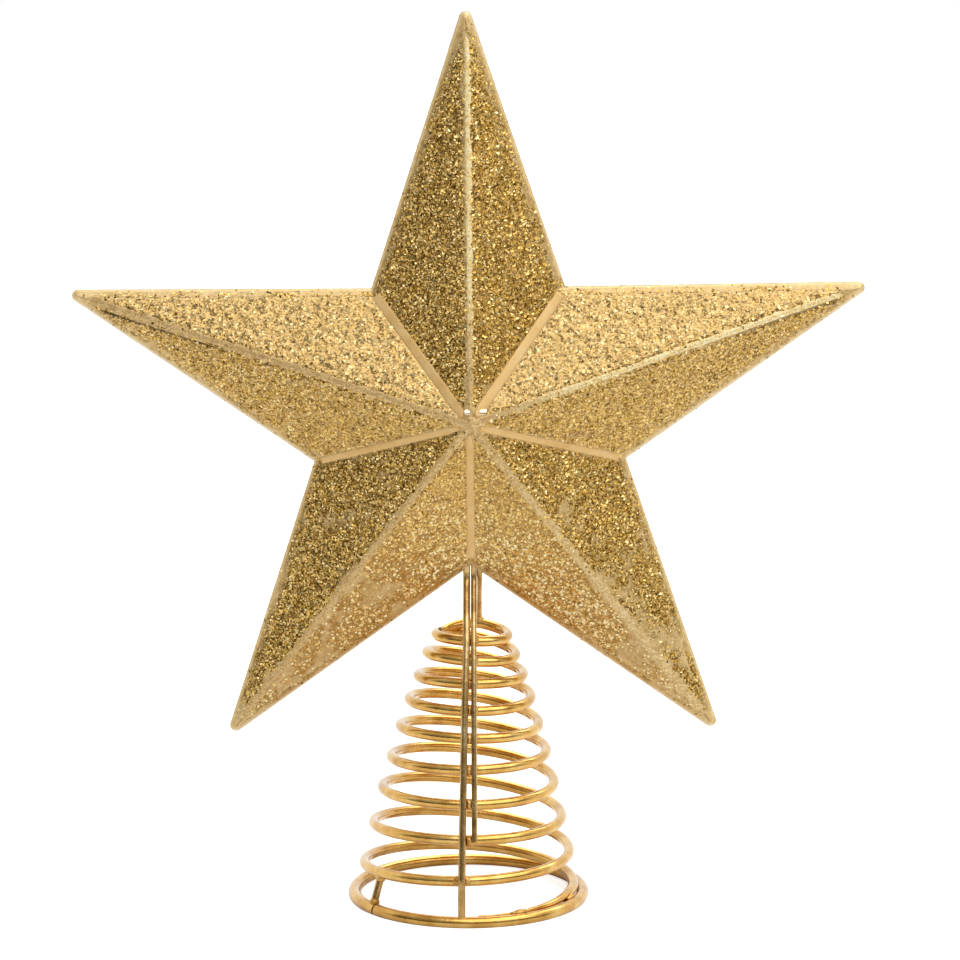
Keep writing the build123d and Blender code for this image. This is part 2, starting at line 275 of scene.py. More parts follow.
def add_wire(target, points, size):
    # a round wire along a row of places, closed at both ends
    way = (points[1] - points[0]).normalized()
    aside = way.orthogonal().normalized()
    loops = []
    for index, point in enumerate(points):
        next_way = (points[min(index + 1, len(points) - 1)] - points[max(index - 1, 0)]).normalized()
        aside = (aside - next_way * aside.dot(next_way)).normalized()
        other = next_way.cross(aside)
        loops.append([target.verts.new((point + (aside * cos(turn) + other * sin(turn)) * (size / 2)) * 0.001)
                      for turn in (step * pi / 8 for step in range(16))])
    for loop, next_loop in zip(loops, loops[1:]):
        for a, b, c, d in zip(loop, loop[1:] + loop[:1], next_loop[1:] + next_loop[:1], next_loop):
            target.faces.new((a, b, c, d)).smooth = True
    target.faces.new(loops[0])
    target.faces.new(loops[-1])


leg_size, leg_top, leg_drop, leg_side, leg_lean, leg_back = 1.5, 100.5, 28.3, 3.03, 0.25, 8.3
leg_steps, bend_start, bend_run = 40, 0.45, 0.45
leg = bmesh.new()
leg_run = []
for step in range(leg_steps + 1):
    share = step / leg_steps
    swing = min(max((share - bend_start) / bend_run, 0.0), 1.0)
    back = leg_back * swing * swing * (3 - 2 * swing)
    leg_run.append(Vector((leg_side - leg_lean * share, back, leg_top - leg_drop * share)))
add_wire(leg, leg_run, leg_size)
keep("leg_wire", leg, stem_gold, "wire_gold", "rear_leg")

# Brazing: brass run in where the wires cross, touch or end, and the solder that fills the star's notch.
# Each bead has sunk and frozen unevenly, and is a little browner than the plated wire.
braze = gold_plate(
    "cast_braze", (0.42, 0.20, 0.04), (0.68, 0.40, 0.11), (0.88, 0.64, 0.28), 0.22, 0.45, 0.5)
dress("stem_anchor", braze)

leg_bead_shift = Vector((-0.0016, 0.0004, -0.0006))
small_bead, usual_bead = 0.66, 0.88
melt_size, lump_height = 0.00022, 0.00022
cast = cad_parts["braze_beads"]
beads = bmesh.new()
beads.from_mesh(cast.data)
beads.transform(cast.matrix_world)
bmesh.ops.remove_doubles(beads, verts=beads.verts, dist=1e-6)
waiting = dict.fromkeys(beads.verts)
while waiting:
    island, edge_of = [], [waiting.popitem()[0]]
    while edge_of:
        vert = edge_of.pop()
        island.append(vert)
        for link in vert.link_edges:
            other = link.other_vert(vert)
            if other in waiting:
                waiting.pop(other)
                edge_of.append(other)
    middle = Vector([fsum(vert.co[axis] for vert in island) for axis in range(3)]) / len(island)
    at_leg = middle.z > 0.06 and middle.y > 0.003
    shift = leg_bead_shift if at_leg else Vector()
    shrink = small_bead if at_leg or middle.x < -0.02 else usual_bead
    for vert in island:
        vert.co = middle + shift + (vert.co - middle) * shrink
bead_mesh = bpy.data.meshes.new("cast_beads")
beads.to_mesh(bead_mesh)
beads.free()
worker = bpy.data.objects.new("bead_worker", bead_mesh)
bpy.context.collection.objects.link(worker)
worker.modifiers.new("melt", "REMESH").voxel_size = melt_size
sag = worker.modifiers.new("sag", "SMOOTH")
sag.factor, sag.iterations = 0.5, 9
beads = bmesh.new()
beads.from_object(worker, bpy.context.evaluated_depsgraph_get())
bpy.data.objects.remove(worker)
beads.normal_update()
for vert in beads.verts:
    lump = 0.7 * noise.noise(vert.co * 700) + 0.4 * noise.noise(vert.co * 1700)
    vert.co += vert.normal * (lump * lump_height)
for face in beads.faces:
    face.smooth = True
keep("run_braze", beads, braze, "braze", "braze_beads")

# Panels: thin sheet metal, each folded along a valley and reaching from ridge to ridge.
# Glue and glitter cover them but for the ridges, the valley, the edge by the rim, the tips and worn places.
point_count = 5
tip_rise, tip_reach, notch_rise, notch_reach = 102.0, 105.4, 38.4, 40.4
star_shift, star_centre, star_turn = 0.33, 129.141, radians(0.6)
rim_edge, star_depth, sheet_share = 1.65, 17.0, 0.985
ridge_round = 3.4
valley_widths = [1.25, 0.95, 1.0, 0.95, 1.25]
grain = 0.45


def in_star(x, y, z):
    # from the star's own millimetres to the frame's metres
    turned_x = x * cos(star_turn) - z * sin(star_turn)
    turned_z = x * sin(star_turn) + z * cos(star_turn)
    return Vector((star_shift + turned_x, y, star_centre + turned_z)) * 0.001


def flat_corner(half_steps):
    # tips have even numbers and notches odd ones, clockwise from the top
    angle = half_steps * pi / point_count
    rise, reach = (tip_rise, tip_reach) if half_steps % 2 == 0 else (notch_rise, notch_reach)
    return Vector((reach * sin(angle), rise * cos(angle)))


def corner(half_steps, face):
    flat = flat_corner(half_steps)
    return in_star(flat.x, face * rim_edge, flat.y)


def peak_of(face):
    return in_star(0, face * (rim_edge + star_depth), 0)


def facet_normal(half_steps, face):
    # the facet between one corner and the next
    normal = (corner(half_steps, face) - peak_of(face)).cross(corner(half_steps + 1, face) - peak_of(face))
    return normal.normalized() if normal.y * face > 0 else -normal.normalized()


def fold(half_steps, face):
    # the way out of a ridge or valley, and how steeply the two facets leave it
    first, second = facet_normal(half_steps - 1, face), facet_normal(half_steps, face)
    outward = (first + second).normalized()
    level = first.dot(outward)
    return outward, sqrt(1 - level * level) / level


def rounding(aside, slope):
    # how far a rounded ridge lies under a sharp one, at a distance from its crest
    level = 1 / sqrt(1 + slope * slope)
    if aside >= ridge_round * slope * level:
        return 0.0
    return ridge_round / level - sqrt(ridge_round * ridge_round - aside * aside) - aside * slope


def rise_of(value, low, high):
    # 0 below low, 1 above high, and a soft rise between
    share = min(max((value - low) / (high - low), 0.0), 1.0)
    return share * share * (3 - 2 * share)


def coat_at(to_ridge, to_valley, to_rim, to_tip, spot):
    # how much glitter covers a place, from 0 on bare metal to 1
    ragged = 0.55 * noise.noise(spot * 800) + 0.45 * noise.noise(spot * 260)
    worn = 0.6 * noise.noise(spot * 55) + 0.45 * noise.noise(spot * 150) + 0.25 * noise.noise(spot * 420)
    # lower on the star the coat has more bare patches: partly wear, partly painted light, as paler bare metal
    # where the floor lights the lower points
    low = rise_of(star_centre * 0.001 - spot.z, -0.02, 0.06)
    patch = 0.30 - 0.10 * low + (0.70 + 0.10 * low) * rise_of(worn, -0.75 + 0.36 * low, -0.20 + 0.36 * low)
    clump = 0.38 + 0.62 * rise_of(noise.noise(spot * 640) + 0.5 * noise.noise(spot * 1500), -0.45, 0.15)
    valley = rise_of(to_valley, 0.02, 0.35)
    rim = 0.15 + 0.85 * rise_of(to_rim + 0.9 * ragged, 0.0, 1.9)
    end = rise_of(to_tip + 1.6 * ragged, 1.0, 5.0)
    ridge = 0.2 + 0.8 * rise_of(to_ridge + 0.7 * ragged, 0.6, 2.4)
    return valley * rim * end * ridge * patch * clump


def line_distance(spot, start, end):
    along = (end - start).normalized()
    return ((spot - start) - along * (spot - start).dot(along)).length * 1000


def split_at(to_ridge, to_tip, joint):
    # an open joint beside a ridge: widest near the tip, closing towards the centre
    if not joint:
        return 0.0
    deepest, apart = joint
    run = rise_of(to_tip, 3.0, 5.0) * (1 - rise_of(to_tip, 26.0, 46.0))
    gap = 0.28 + 0.20 * run + 0.20 * (1 - rise_of(to_tip, 8.0, 20.0))
    return deepest * run * max(1 - abs(to_ridge - apart) / gap, 0.0)


def add_facet(target, half_steps, face, joint):
    # one flat facet of a panel as a closed plate with a grainy outer skin
    coat_layer, split_layer = target.verts.layers.float["coat"], target.verts.layers.float["split"]
    tip_step = half_steps if half_steps % 2 == 0 else half_steps + 1
    tip, notch = corner(tip_step, face), corner(2 * half_steps + 1 - tip_step, face)
    peak, root = peak_of(face), in_star(0, face * rim_edge, 0)
    outward = facet_normal(half_steps, face)
    crest, slope = fold(tip_step, face)
    along = (tip - peak).normalized()
    across = ((notch - peak) - along * (notch - peak).dot(along)).normalized()
    corners = [Vector(((spot - peak).dot(along), (spot - peak).dot(across))) * 1000
               for spot in (peak, tip, notch)]
    columns = int(max(c.x for c in corners) / grain) + 3
    lines = [-0.1 + 0.2 * j for j in range(17)]
    while lines[-1] < corners[2].y:
        lines.append(lines[-1] + grain)
    skin = bmesh.new()
    coat, split = skin.verts.layers.float.new("coat"), skin.verts.layers.float.new("split")
    grid = [[skin.verts.new((grain * (i - 1.3), line, 0)) for i in range(columns)] for line in lines]
    for lower, upper in zip(grid, grid[1:]):
        for i in range(columns - 1):
            skin.faces.new((lower[i], lower[i + 1], upper[i + 1], upper[i]))
    middle = (corners[0] + corners[1] + corners[2]) / 3
    for start, end in zip(corners, corners[1:] + corners[:1]):
        side = Vector((end.y - start.y, start.x - end.x)).normalized()
        side = side if side.dot(middle - start) < 0 else -side
        bmesh.ops.bisect_plane(
            skin, geom=skin.verts[:] + skin.edges[:] + skin.faces[:], dist=1e-5, plane_co=start.to_3d(),
            plane_no=side.to_3d(), clear_outer=True)
    for vert in skin.verts:
        to_ridge = vert.co.y
        spot = peak + (along * vert.co.x + across * vert.co.y) * 0.001
        to_tip = (spot - tip).length * 1000
        to_strip = line_distance(spot, peak, notch) - valley_widths[half_steps // 2]
        cover = coat_at(to_ridge, to_strip, line_distance(spot, tip, notch), to_tip, spot)
        lump = 0.5 + 0.5 * noise.noise(spot * 260) + 0.7 * noise.noise(spot * 800)
        opened = split_at(to_ridge, to_tip, joint)
        # the split value marks where shade is painted into the open joint's groove
        vert[coat], vert[split] = cover * (1 - min(opened * 4, 1)), min(opened * 3, 1)
        raised = cover * (0.06 + 0.22 * max(lump, 0)) - opened
        dropped = rounding(to_ridge / sqrt(1 + slope * slope), slope)
        vert.co = spot + (outward * raised - crest * dropped) * 0.001
    rim_edges = [edge for edge in skin.edges if edge.is_boundary]
    walls = bmesh.ops.extrude_edge_only(skin, edges=rim_edges)["geom"]
    for item in walls:
        if isinstance(item, bmesh.types.BMVert):
            item.co = root + (item.co - root) * sheet_share
            item[coat] = 0.0
    loop = [item for item in walls if isinstance(item, bmesh.types.BMEdge) and item.is_boundary]
    bmesh.ops.edgeloop_fill(skin, edges=loop)
    bmesh.ops.recalc_face_normals(skin, faces=skin.faces)
    # copied in a settled order, so that the glitter falls the same each time
    ordered = sorted(skin.verts, key=lambda vert: [round(value, 8) for value in vert.co])
    numbers = {vert: number for number, vert in enumerate(ordered)}
    copies = [target.verts.new(vert.co) for vert in ordered]
    for vert, copy in zip(ordered, copies):
        copy[coat_layer], copy[split_layer] = vert[coat], vert[split]
    rings = [[numbers[vert] for vert in each.verts] for each in skin.faces]
    rings = sorted(ring[ring.index(min(ring)):] + ring[:ring.index(min(ring))] for ring in rings)
    for ring in rings:
        target.faces.new([copies[number] for number in ring]).smooth = len(ring) < 6
    skin.free()


def glitter_coat(name):
    # fine glitter in glue: a mosaic of tiny mirrors, and bare satin metal where the coat is missing
    finish, nodes, links, shader = new_finish(name)
    place = put(nodes, "ShaderNodeTexCoord")
    flake = put(nodes, "ShaderNodeTexVoronoi", {"Scale": 2900.0, "Randomness": 1.0})
    pick = put(nodes, "ShaderNodeSeparateColor")
    tone = colour_steps(
        nodes, (0.0, (0.06, 0.026, 0.004)), (0.40, (0.30, 0.155, 0.025)), (0.75, (0.70, 0.43, 0.11)),
        (1.0, (0.97, 0.75, 0.33)))
    lean = put(nodes, "ShaderNodeVectorMath", operation="SUBTRACT")
    lean.inputs[1].default_value = (0.5, 0.5, 0.5)
    amount = put(nodes, "ShaderNodeVectorMath", operation="SCALE")
    flat = put(nodes, "ShaderNodeNewGeometry")
    facing = put(nodes, "ShaderNodeSeparateXYZ")
    steep = put(nodes, "ShaderNodeMath", operation="ABSOLUTE")
    settled = span(nodes, 0.15, 0.40, 0.95, 0.40)
    # the mosaic tone is evened towards mid gold where a facet looks up or sits low on the star: painted
    # light, with fewer dark specks where the lamp above and the floor light it
    evened = span(nodes, 0.15, 0.40, 0.0, 0.72)
    even_tone = put(nodes, "ShaderNodeMix", {"B": 0.56})
    tall = put(nodes, "ShaderNodeSeparateXYZ")
    painted_low_light = span(nodes, 0.14, 0.09, 0.35, 1.0)
    upward = span(nodes, 0.0, 0.15)
    most = put(nodes, "ShaderNodeMath", operation="MAXIMUM")
    evenness = put(nodes, "ShaderNodeMath", operation="MULTIPLY")
    # a pale dust colour is mixed in where a facet looks steeply up or down: partly dust, partly painted light
    # from the lamp above and the floor
    dust_and_painted_light = span(nodes, 0.15, 0.50, 0.0, 0.26)
    dust = put(nodes, "ShaderNodeMix", data_type="RGBA")
    dust.inputs["B"].default_value = (0.72, 0.57, 0.33, 1)
    # a very pale colour is mixed in where a surface looks down: painted light from below, standing in for the
    # white floor's light on the undersides
    under = span(nodes, -0.46, -0.88, 0.0, 0.8)
    painted_underlight = put(nodes, "ShaderNodeMix", data_type="RGBA")
    painted_underlight.inputs["B"].default_value = (0.97, 0.85, 0.60, 1)
    tilt = put(nodes, "ShaderNodeVectorMath", operation="ADD")
    unit = put(nodes, "ShaderNodeVectorMath", operation="NORMALIZE")
    cover = put(nodes, "ShaderNodeAttribute", attribute_name="coat")
    thick = span(nodes, 0.03, 0.36)
    bare = put(nodes, "ShaderNodeTexNoise", {"Scale": 900.0, "Detail": 6.0, "Roughness": 0.7})
    bare_tone = colour_steps(
        nodes, (0.3, (0.58, 0.38, 0.14)), (0.5, (0.77, 0.54, 0.23)), (0.7, (0.90, 0.70, 0.38)))
    mixed = put(nodes, "ShaderNodeMix", data_type="RGBA")
    turned = put(nodes, "ShaderNodeMix", data_type="VECTOR")
    gloss = span(nodes, 0.0, 1.0, 0.46, 0.30)
    metal = span(nodes, 0.0, 1.0, 0.45, 1.0)
    # near black is mixed in along the open joints: painted shade inside the gap
    opened = put(nodes, "ShaderNodeAttribute", attribute_name="split")
    dark = put(nodes, "ShaderNodeMix", data_type="RGBA")
    dark.inputs["B"].default_value = (0.030, 0.016, 0.006, 1)
    tie(links, (place, "Object", flake, "Vector"), (place, "Object", bare, "Vector"),
        (flake, "Color", pick, "Color"), (pick, "Red", even_tone, "A"), (place, "Object", tall, "Vector"),
        (tall, "Z", painted_low_light, "Value"), (facing, "Z", upward, "Value"), (painted_low_light, "Result", most, 0),
        (upward, "Result", most, 1), (evened, "Result", evenness, 0), (most, "Value", evenness, 1),
        (evenness, "Value", even_tone, "Factor"), (even_tone, "Result", tone, "Fac"),
        (flake, "Color", lean, 0), (lean, "Vector", amount, "Vector"), (flat, "Normal", facing, "Vector"),
        (facing, "Z", steep, 0))
    for spread in (settled, evened, dust_and_painted_light):
        tie(links, (steep, "Value", spread, "Value"))
    tie(links, (settled, "Result", amount, "Scale"), (flat, "Normal", tilt, 0), (amount, "Vector", tilt, 1),
        (tilt, "Vector", unit, "Vector"), (cover, "Fac", thick, "Value"), (thick, "Result", mixed, "Factor"),
        (bare, "Fac", bare_tone, "Fac"), (bare_tone, "Color", mixed, "A"), (tone, "Color", mixed, "B"),
        (thick, "Result", turned, "Factor"), (flat, "Normal", turned, "A"), (unit, "Vector", turned, "B"),
        (thick, "Result", gloss, "Value"), (mixed, "Result", dust, "A"), (dust_and_painted_light, "Result", dust, "Factor"),
        (facing, "Z", under, "Value"), (under, "Result", painted_underlight, "Factor"), (dust, "Result", painted_underlight, "A"),
        (painted_underlight, "Result", dark, "A"), (opened, "Fac", dark, "Factor"),
        (dark, "Result", shader, "Base Color"), (turned, "Result", shader, "Normal"),
        (gloss, "Result", shader, "Roughness"), (thick, "Result", metal, "Value"),
        (metal, "Result", shader, "Metallic"))
    return finish


coat_finish = glitter_coat("glitter_coat")
sides = {"front": -1, "back": 1}
panel_names = ["upper_right", "lower_right", "bottom", "lower_left", "upper_left"]
open_joints = {("front", 7): (0.75, 1.75), ("front", 2): (0.20, 0.90)}
panels = {}
for side, face in sides.items():
    for index, name in enumerate(panel_names):
        plate = bmesh.new()
        plate.verts.layers.float.new("coat")
        plate.verts.layers.float.new("split")
        for facet in (2 * index, 2 * index + 1):
            add_facet(plate, facet, face, open_joints.get((side, facet)))
        label = side + "_" + name
        panels[label] = keep("sheet_" + label, plate, coat_finish, "glitter_gold", side + "_panel_" + name)

# Ridge seams: solder wiped over the joints between the panels, from the centre to each tip.
# Low, matt and tan, with a thin dust of glitter. The top and right ones, which face the lamps, are painted a
# granular cream that grows towards the tip, partly pale glitter and partly painted highlight, and lie a
# little to one side of the fold.
wiped_gold, nodes, links, shader = new_finish("wiped_gold")
place = put(nodes, "ShaderNodeTexCoord")
specks = put(nodes, "ShaderNodeTexVoronoi", {"Scale": 2600.0})
cloud = put(nodes, "ShaderNodeTexNoise", {"Scale": 420.0, "Detail": 5.0, "Roughness": 0.65})
pick = put(nodes, "ShaderNodeSeparateColor")
spread = put(nodes, "ShaderNodeMix", {"Factor": 0.5})
tan = colour_steps(nodes, (0.25, (0.48, 0.30, 0.11)), (0.5, (0.65, 0.435, 0.175)), (0.75, (0.80, 0.57, 0.26)))
cream = colour_steps(nodes, (0.25, (0.80, 0.54, 0.18)), (0.5, (1.0, 0.78, 0.37)), (0.75, (1.0, 0.93, 0.62)))
creamy = put(nodes, "ShaderNodeAttribute", attribute_name="cream")
mixed = put(nodes, "ShaderNodeMix", data_type="RGBA")
dents = put(nodes, "ShaderNodeBump", {"Strength": 0.35, "Distance": 0.0003})
tie(links, (place, "Object", specks, "Vector"), (place, "Object", cloud, "Vector"),
    (specks, "Color", pick, "Color"), (pick, "Red", spread, "A"), (cloud, "Fac", spread, "B"),
    (spread, "Result", tan, "Fac"), (spread, "Result", cream, "Fac"), (creamy, "Fac", mixed, "Factor"),
    (tan, "Color", mixed, "A"), (cream, "Color", mixed, "B"), (mixed, "Result", shader, "Base Color"),
    (cloud, "Fac", dents, "Height"), (dents, "Normal", shader, "Normal"))
shader.inputs["Metallic"].default_value = 0.45
shader.inputs["Roughness"].default_value = 0.5


def add_closed(target, upper, lower):
    # a closed strip between two grids of places
    tops = [[target.verts.new(spot) for spot in row] for row in upper]
    bottoms = [[target.verts.new(spot) for spot in row] for row in lower]
    made = []
    for grid in (tops, bottoms):
        for row, next_row in zip(grid, grid[1:]):
            for a, b, c, d in zip(row, row[1:], next_row[1:], next_row):
                made.append(target.faces.new((a, b, c, d)))
    for grid_row, under_row in ((tops[0], bottoms[0]), (tops[-1], bottoms[-1])):
        for a, b, c, d in zip(grid_row, grid_row[1:], under_row[1:], under_row):
            target.faces.new((a, b, c, d))
    for end in (0, -1):
        edge, under = [row[end] for row in tops], [row[end] for row in bottoms]
        for a, b, c, d in zip(edge, edge[1:], under[1:], under):
            target.faces.new((a, b, c, d))
    for face in made:
        face.smooth = True


def add_strip(target, start, end, outward, reach, height, columns, stride):
    # a strip of metal along a fold: reach gives its two sides, height the place of its top
    length = (end - start).length * 1000
    along = (end - start).normalized()
    lateral = along.cross(outward).normalized()
    upper, lower = [], []
    for step in range(int(length / stride) + 1):
        run = min(step * stride, length)
        left_reach, right_reach = reach(run, length)
        tops, bottoms = [], []
        for column in range(columns + 1):
            aside = -left_reach + (left_reach + right_reach) * column / columns
            base = start + along * (run * 0.001) + lateral * (aside * 0.001)
            top, bottom = height(run, aside, left_reach if aside < 0 else right_reach, base)
            tops.append(base + outward * (top * 0.001))
            bottoms.append(base + outward * (bottom * 0.001))
        upper.append(tops)
        lower.append(bottoms)
    add_closed(target, upper, lower)


seam_names = ["top", "right", "lower_right", "lower_left", "left"]
seam_dust = [0.14, 0.10, 0.06, 0.06, 0.10]
# cream share per seam: partly pale glitter, partly painted highlight on the ridges that face the lamps
seam_cream = [1.0, 0.9, 0.25, 0.0, 0.0]
seam_halves = [(0.5, 2.0), (1.7, 1.7), (1.7, 1.7), (1.7, 1.7), (1.7, 1.7)]
dusted = {}
for side, face in sides.items():
    for index, name in enumerate(seam_names):
        outward, slope = fold(2 * index, face)
        peak, tip = peak_of(face), corner(2 * index, face)
        lateral = (tip - peak).normalized().cross(outward).normalized()
        clockwise = lateral.dot(corner(2 * index + 1, face) - peak) > 0
        narrow = list(seam_halves[index])
        for which, facet in enumerate((2 * index - 1, 2 * index)):
            if (side, facet) in open_joints:
                narrow[which] = open_joints[side, facet][1] - 0.3
        narrow = narrow if clockwise else narrow[::-1]

        def seam_reach(run, length):
            taper = 0.35 + 0.24 * (length - run)
            start = 1.0 + 0.5 * run
            return [min(side_reach, taper, start) for side_reach in narrow]

        def seam_height(run, aside, limit, spot):
            rough = 0.05 * noise.noise(spot * 300) + 0.035 * noise.noise(spot * 1300)
            share = abs(aside) / limit
            surface = -rounding(abs(aside), slope) - abs(aside) * slope
            ending = 0.25 * (1 - rise_of((tip - spot).length * 1000, 1.0, 7.0))
            return surface + 0.15 - 0.28 * share * share + rough - ending, surface - 0.45

        seam = bmesh.new()
        dust, cream_part = seam.verts.layers.float.new("coat"), seam.verts.layers.float.new("cream")
        add_strip(seam, peak, tip, outward, seam_reach, seam_height, 16, 0.5)
        for vert in seam.verts:
            patch = 0.5 + 0.6 * noise.noise(vert.co * 90) + 0.5 * noise.noise(vert.co * 420)
            aside = abs((vert.co - peak).dot(lateral)) * 1000 / max(narrow)
            ragged = rise_of(aside + 0.5 * noise.noise(vert.co * 500), 0.45, 1.0)
            vert[dust] = (seam_dust[index] + 0.6 * ragged) * min(max(patch, 0.0), 1.0)
            vert[cream_part] = seam_cream[index] * rise_of((vert.co - peak).length * 1000, 4.0, 40.0)
        label = "ridge_" + side + "_" + name
        dusted[label] = keep(label, seam, wiped_gold, "satin_gold", side + "_seam_" + name)

# Valley fillets: a flat bare strip of lacquered metal along the fold of every panel.
# It lies between the two glittered facets with clean edges.
strip_gold = gold_plate(
    "strip_gold", (0.74, 0.47, 0.165), (0.81, 0.54, 0.22), (0.86, 0.61, 0.29), 0.48, 0.60, 0.12, 0.0, 0.5)
for side, face in sides.items():
    for index, name in enumerate(panel_names):
        outward, slope = fold(2 * index + 1, face)
        peak, notch = peak_of(face), corner(2 * index + 1, face)
        width = valley_widths[index]

        def strip_reach(run, length):
            wide = width * (0.6 + 0.4 * rise_of(run, 0.0, 4.0))
            ended = sqrt(max(1 - (1 - min(run / 0.9, 1.0)) ** 2, 0.02))
            return wide * ended, wide * ended

        def strip_height(run, aside, limit, spot):
            share = abs(aside) / limit
            wave = 0.02 * noise.noise(spot * 240)
            return width * slope + 0.14 - 0.10 * share ** 4 + wave, abs(aside) * slope - 0.12

        fillet = bmesh.new()
        start = peak + (notch - peak).normalized() * 0.0028
        add_strip(fillet, start, notch, outward, strip_reach, strip_height, 10, 0.6)
        keep("valley_" + side + "_" + name, fillet, strip_gold, "satin_gold")

# Centre bosses: a low dab of solder where the five ridges meet, wiped out along them.
# Two bright drops have run into the upper valleys beside it.
shiny_gold = gold_plate(
    "bright_drop", (0.93, 0.74, 0.42), (0.97, 0.82, 0.54), (1.0, 0.90, 0.68), 0.10, 0.16, 0.05)


def roof(x, z):
    # how far the sharp star stands out at a place
    for half_steps in range(2 * point_count):
        first, second = flat_corner(half_steps), flat_corner(half_steps + 1)
        area = first.x * second.y - first.y * second.x
        one = (x * second.y - z * second.x) / area
        two = (first.x * z - first.y * x) / area
        if one >= -1e-9 and two >= -1e-9:
            return star_depth * (1 - one - two)
    return star_depth


def soft_roof(x, z, blur):
    # the same, evened out over the places around
    total = roof(x, z)
    for step in range(12):
        turn = step * pi / 6
        total += roof(x + blur * cos(turn), z + blur * sin(turn))
        total += roof(x + 0.5 * blur * cos(turn), z + 0.5 * blur * sin(turn))
    return total / 25


boss_reach, boss_height, boss_fall, boss_blur = 3.5, 0.24, 0.42, 1.5
for side, face in sides.items():
    dab = bmesh.new()
    rings, spokes = 16, 70
    crown = dab.verts.new(in_star(0, face * (rim_edge + soft_roof(0, 0, boss_blur) + boss_height), 0))
    floor_of_dab = dab.verts.new(in_star(0, face * (rim_edge + star_depth - 2.0), 0))
    rows = []
    for ring in range(1, rings + 1):
        radius = boss_reach * ring / rings
        row = []
        for spoke in range(spokes):
            turn = 2 * pi * spoke / spokes
            arm = 0.5 + 0.5 * cos(point_count * turn)
            x, z = radius * sin(turn), radius * cos(turn)
            share = radius / (boss_reach * (0.72 + 0.28 * arm))
            rough = 0.05 * noise.noise(Vector((x, z, face)) * 0.9)
            top = soft_roof(x, z, boss_blur) + boss_height - boss_fall * share * share + rough
            row.append(dab.verts.new(in_star(x, face * (rim_edge + top), z)))
        rows.append(row)
    for spoke in range(spokes):
        after = (spoke + 1) % spokes
        dab.faces.new((crown, rows[0][spoke], rows[0][after])).smooth = True
        dab.faces.new((floor_of_dab, rows[-1][after], rows[-1][spoke]))
        for row, next_row in zip(rows, rows[1:]):
            dab.faces.new((row[spoke], next_row[spoke], next_row[after], row[after])).smooth = True
    keep("dab_" + side, dab, wiped_gold, "satin_gold", side + "_boss")

toward_light = Vector((0.22, -0.86, 0.46)).normalized()
drops = bmesh.new()
for x, z, size in ((-0.6, 3.4, 1.0), (3.6, 3.3, 1.25)):
    middle = in_star(x, -(rim_edge + roof(x, z) + 0.05), z)
    turned = toward_light.to_track_quat("Z", "Y").to_matrix().to_4x4()
    shape = Matrix.Translation(middle) @ turned @ Matrix.Diagonal((size, 0.8 * size, 0.30, 1.0))
    made = bmesh.ops.create_icosphere(drops, subdivisions=3, radius=0.001, matrix=shape)["verts"]
    for vert in made:
        vert.co += (vert.co - middle) * (0.22 * noise.noise(vert.co * 900))
for face in drops.faces:
    face.smooth = True
keep("bright_drops", drops, shiny_gold, "satin_gold")

# Rim: the two halves are hemmed over a wire all round the outline, which makes one rounded edge.
# Worn smooth on the outside, and dusted with glitter where it runs in under the panels' coat.
rim_slope = sqrt(1 / facet_normal(0, -1).y ** 2 - 1)
# across the hem: how far out, how far over the facet, and how much glitter it has caught
hem_half = [
    (-0.75, -0.16, 0.5), (-0.40, 0.01, 0.5), (-0.10, 0.06, 0.45), (0.30, 0.02, 0.38), (0.75, -0.05, 0.30),
    (1.10, -0.22, 0.14), (1.36, -0.48, 0.05), (1.52, -0.86, 0.0)]
hem = [(out, -1, lift, dust) for out, lift, dust in hem_half] + [(1.595, 0, 0.0, 0.0)]
hem += [(out, 1, lift, dust) for out, lift, dust in hem_half[::-1]]
hem += [(-0.6, 0.4, -0.6, 0.0), (-0.6, -0.4, -0.6, 0.0)]
stations = []
for half_steps in range(2 * point_count):
    before, here, after = [flat_corner(half_steps + k) for k in (-1, 0, 1)]
    ways = [(here - before).normalized(), (after - here).normalized()]
    normals = [Vector((-way.y, way.x)) for way in ways]
    normals = [normal if normal.dot(here) > 0 else -normal for normal in normals]
    if half_steps % 2 == 0:
        for fan in range(13):
            stations.append((here, normals[0].slerp(normals[1], fan / 12), 1.0, 0.0))
    else:
        mixed = (normals[0] + normals[1]).normalized()
        stations.append((here, mixed, 1 / mixed.dot(normals[0]), 40.0))
    length = (after - here).length
    for step in range(1, int(length / 1.0)):
        to_tip = step if half_steps % 2 == 0 else length - step
        stations.append((here + ways[1] * step, normals[1], 1.0, to_tip))
band = bmesh.new()
dust_layer = band.verts.layers.float.new("coat")
loops = []
for place, normal, stretch, to_tip in stations:
    loop = []
    for out, half, lift, dust in hem:
        spot = Vector((place.x, 20.0 * half, place.y))
        out = out if out > 0 else out * min(to_tip / 3.0, 1.0)
        wave = 0.05 * noise.noise(spot * 0.35) + 0.03 * noise.noise(spot * 1.1)
        shift = normal * (out * stretch)
        deep = half * (rim_edge - out * rim_slope + lift + wave)
        vert = band.verts.new(in_star(place.x + shift.x, deep, place.y + shift.y))
        patch = 0.7 + 0.7 * noise.noise(vert.co * 110) + 0.5 * noise.noise(vert.co * 500)
        vert[dust_layer] = dust * min(max(patch, 0.0), 1.0) * min(max((to_tip - 1.5) / 6.0, 0.0), 1.0)
        loop.append(vert)
    loops.append(loop)
for loop, next_loop in zip(loops, loops[1:] + loops[:1]):
    for a, b, c, d in zip(loop, loop[1:] + loop[:1], next_loop[1:] + next_loop[:1], next_loop):
        band.faces.new((a, b, c, d)).smooth = True
dusted["rim"] = keep("hemmed_rim", band, coat_finish, "satin_gold", "rim_wire")

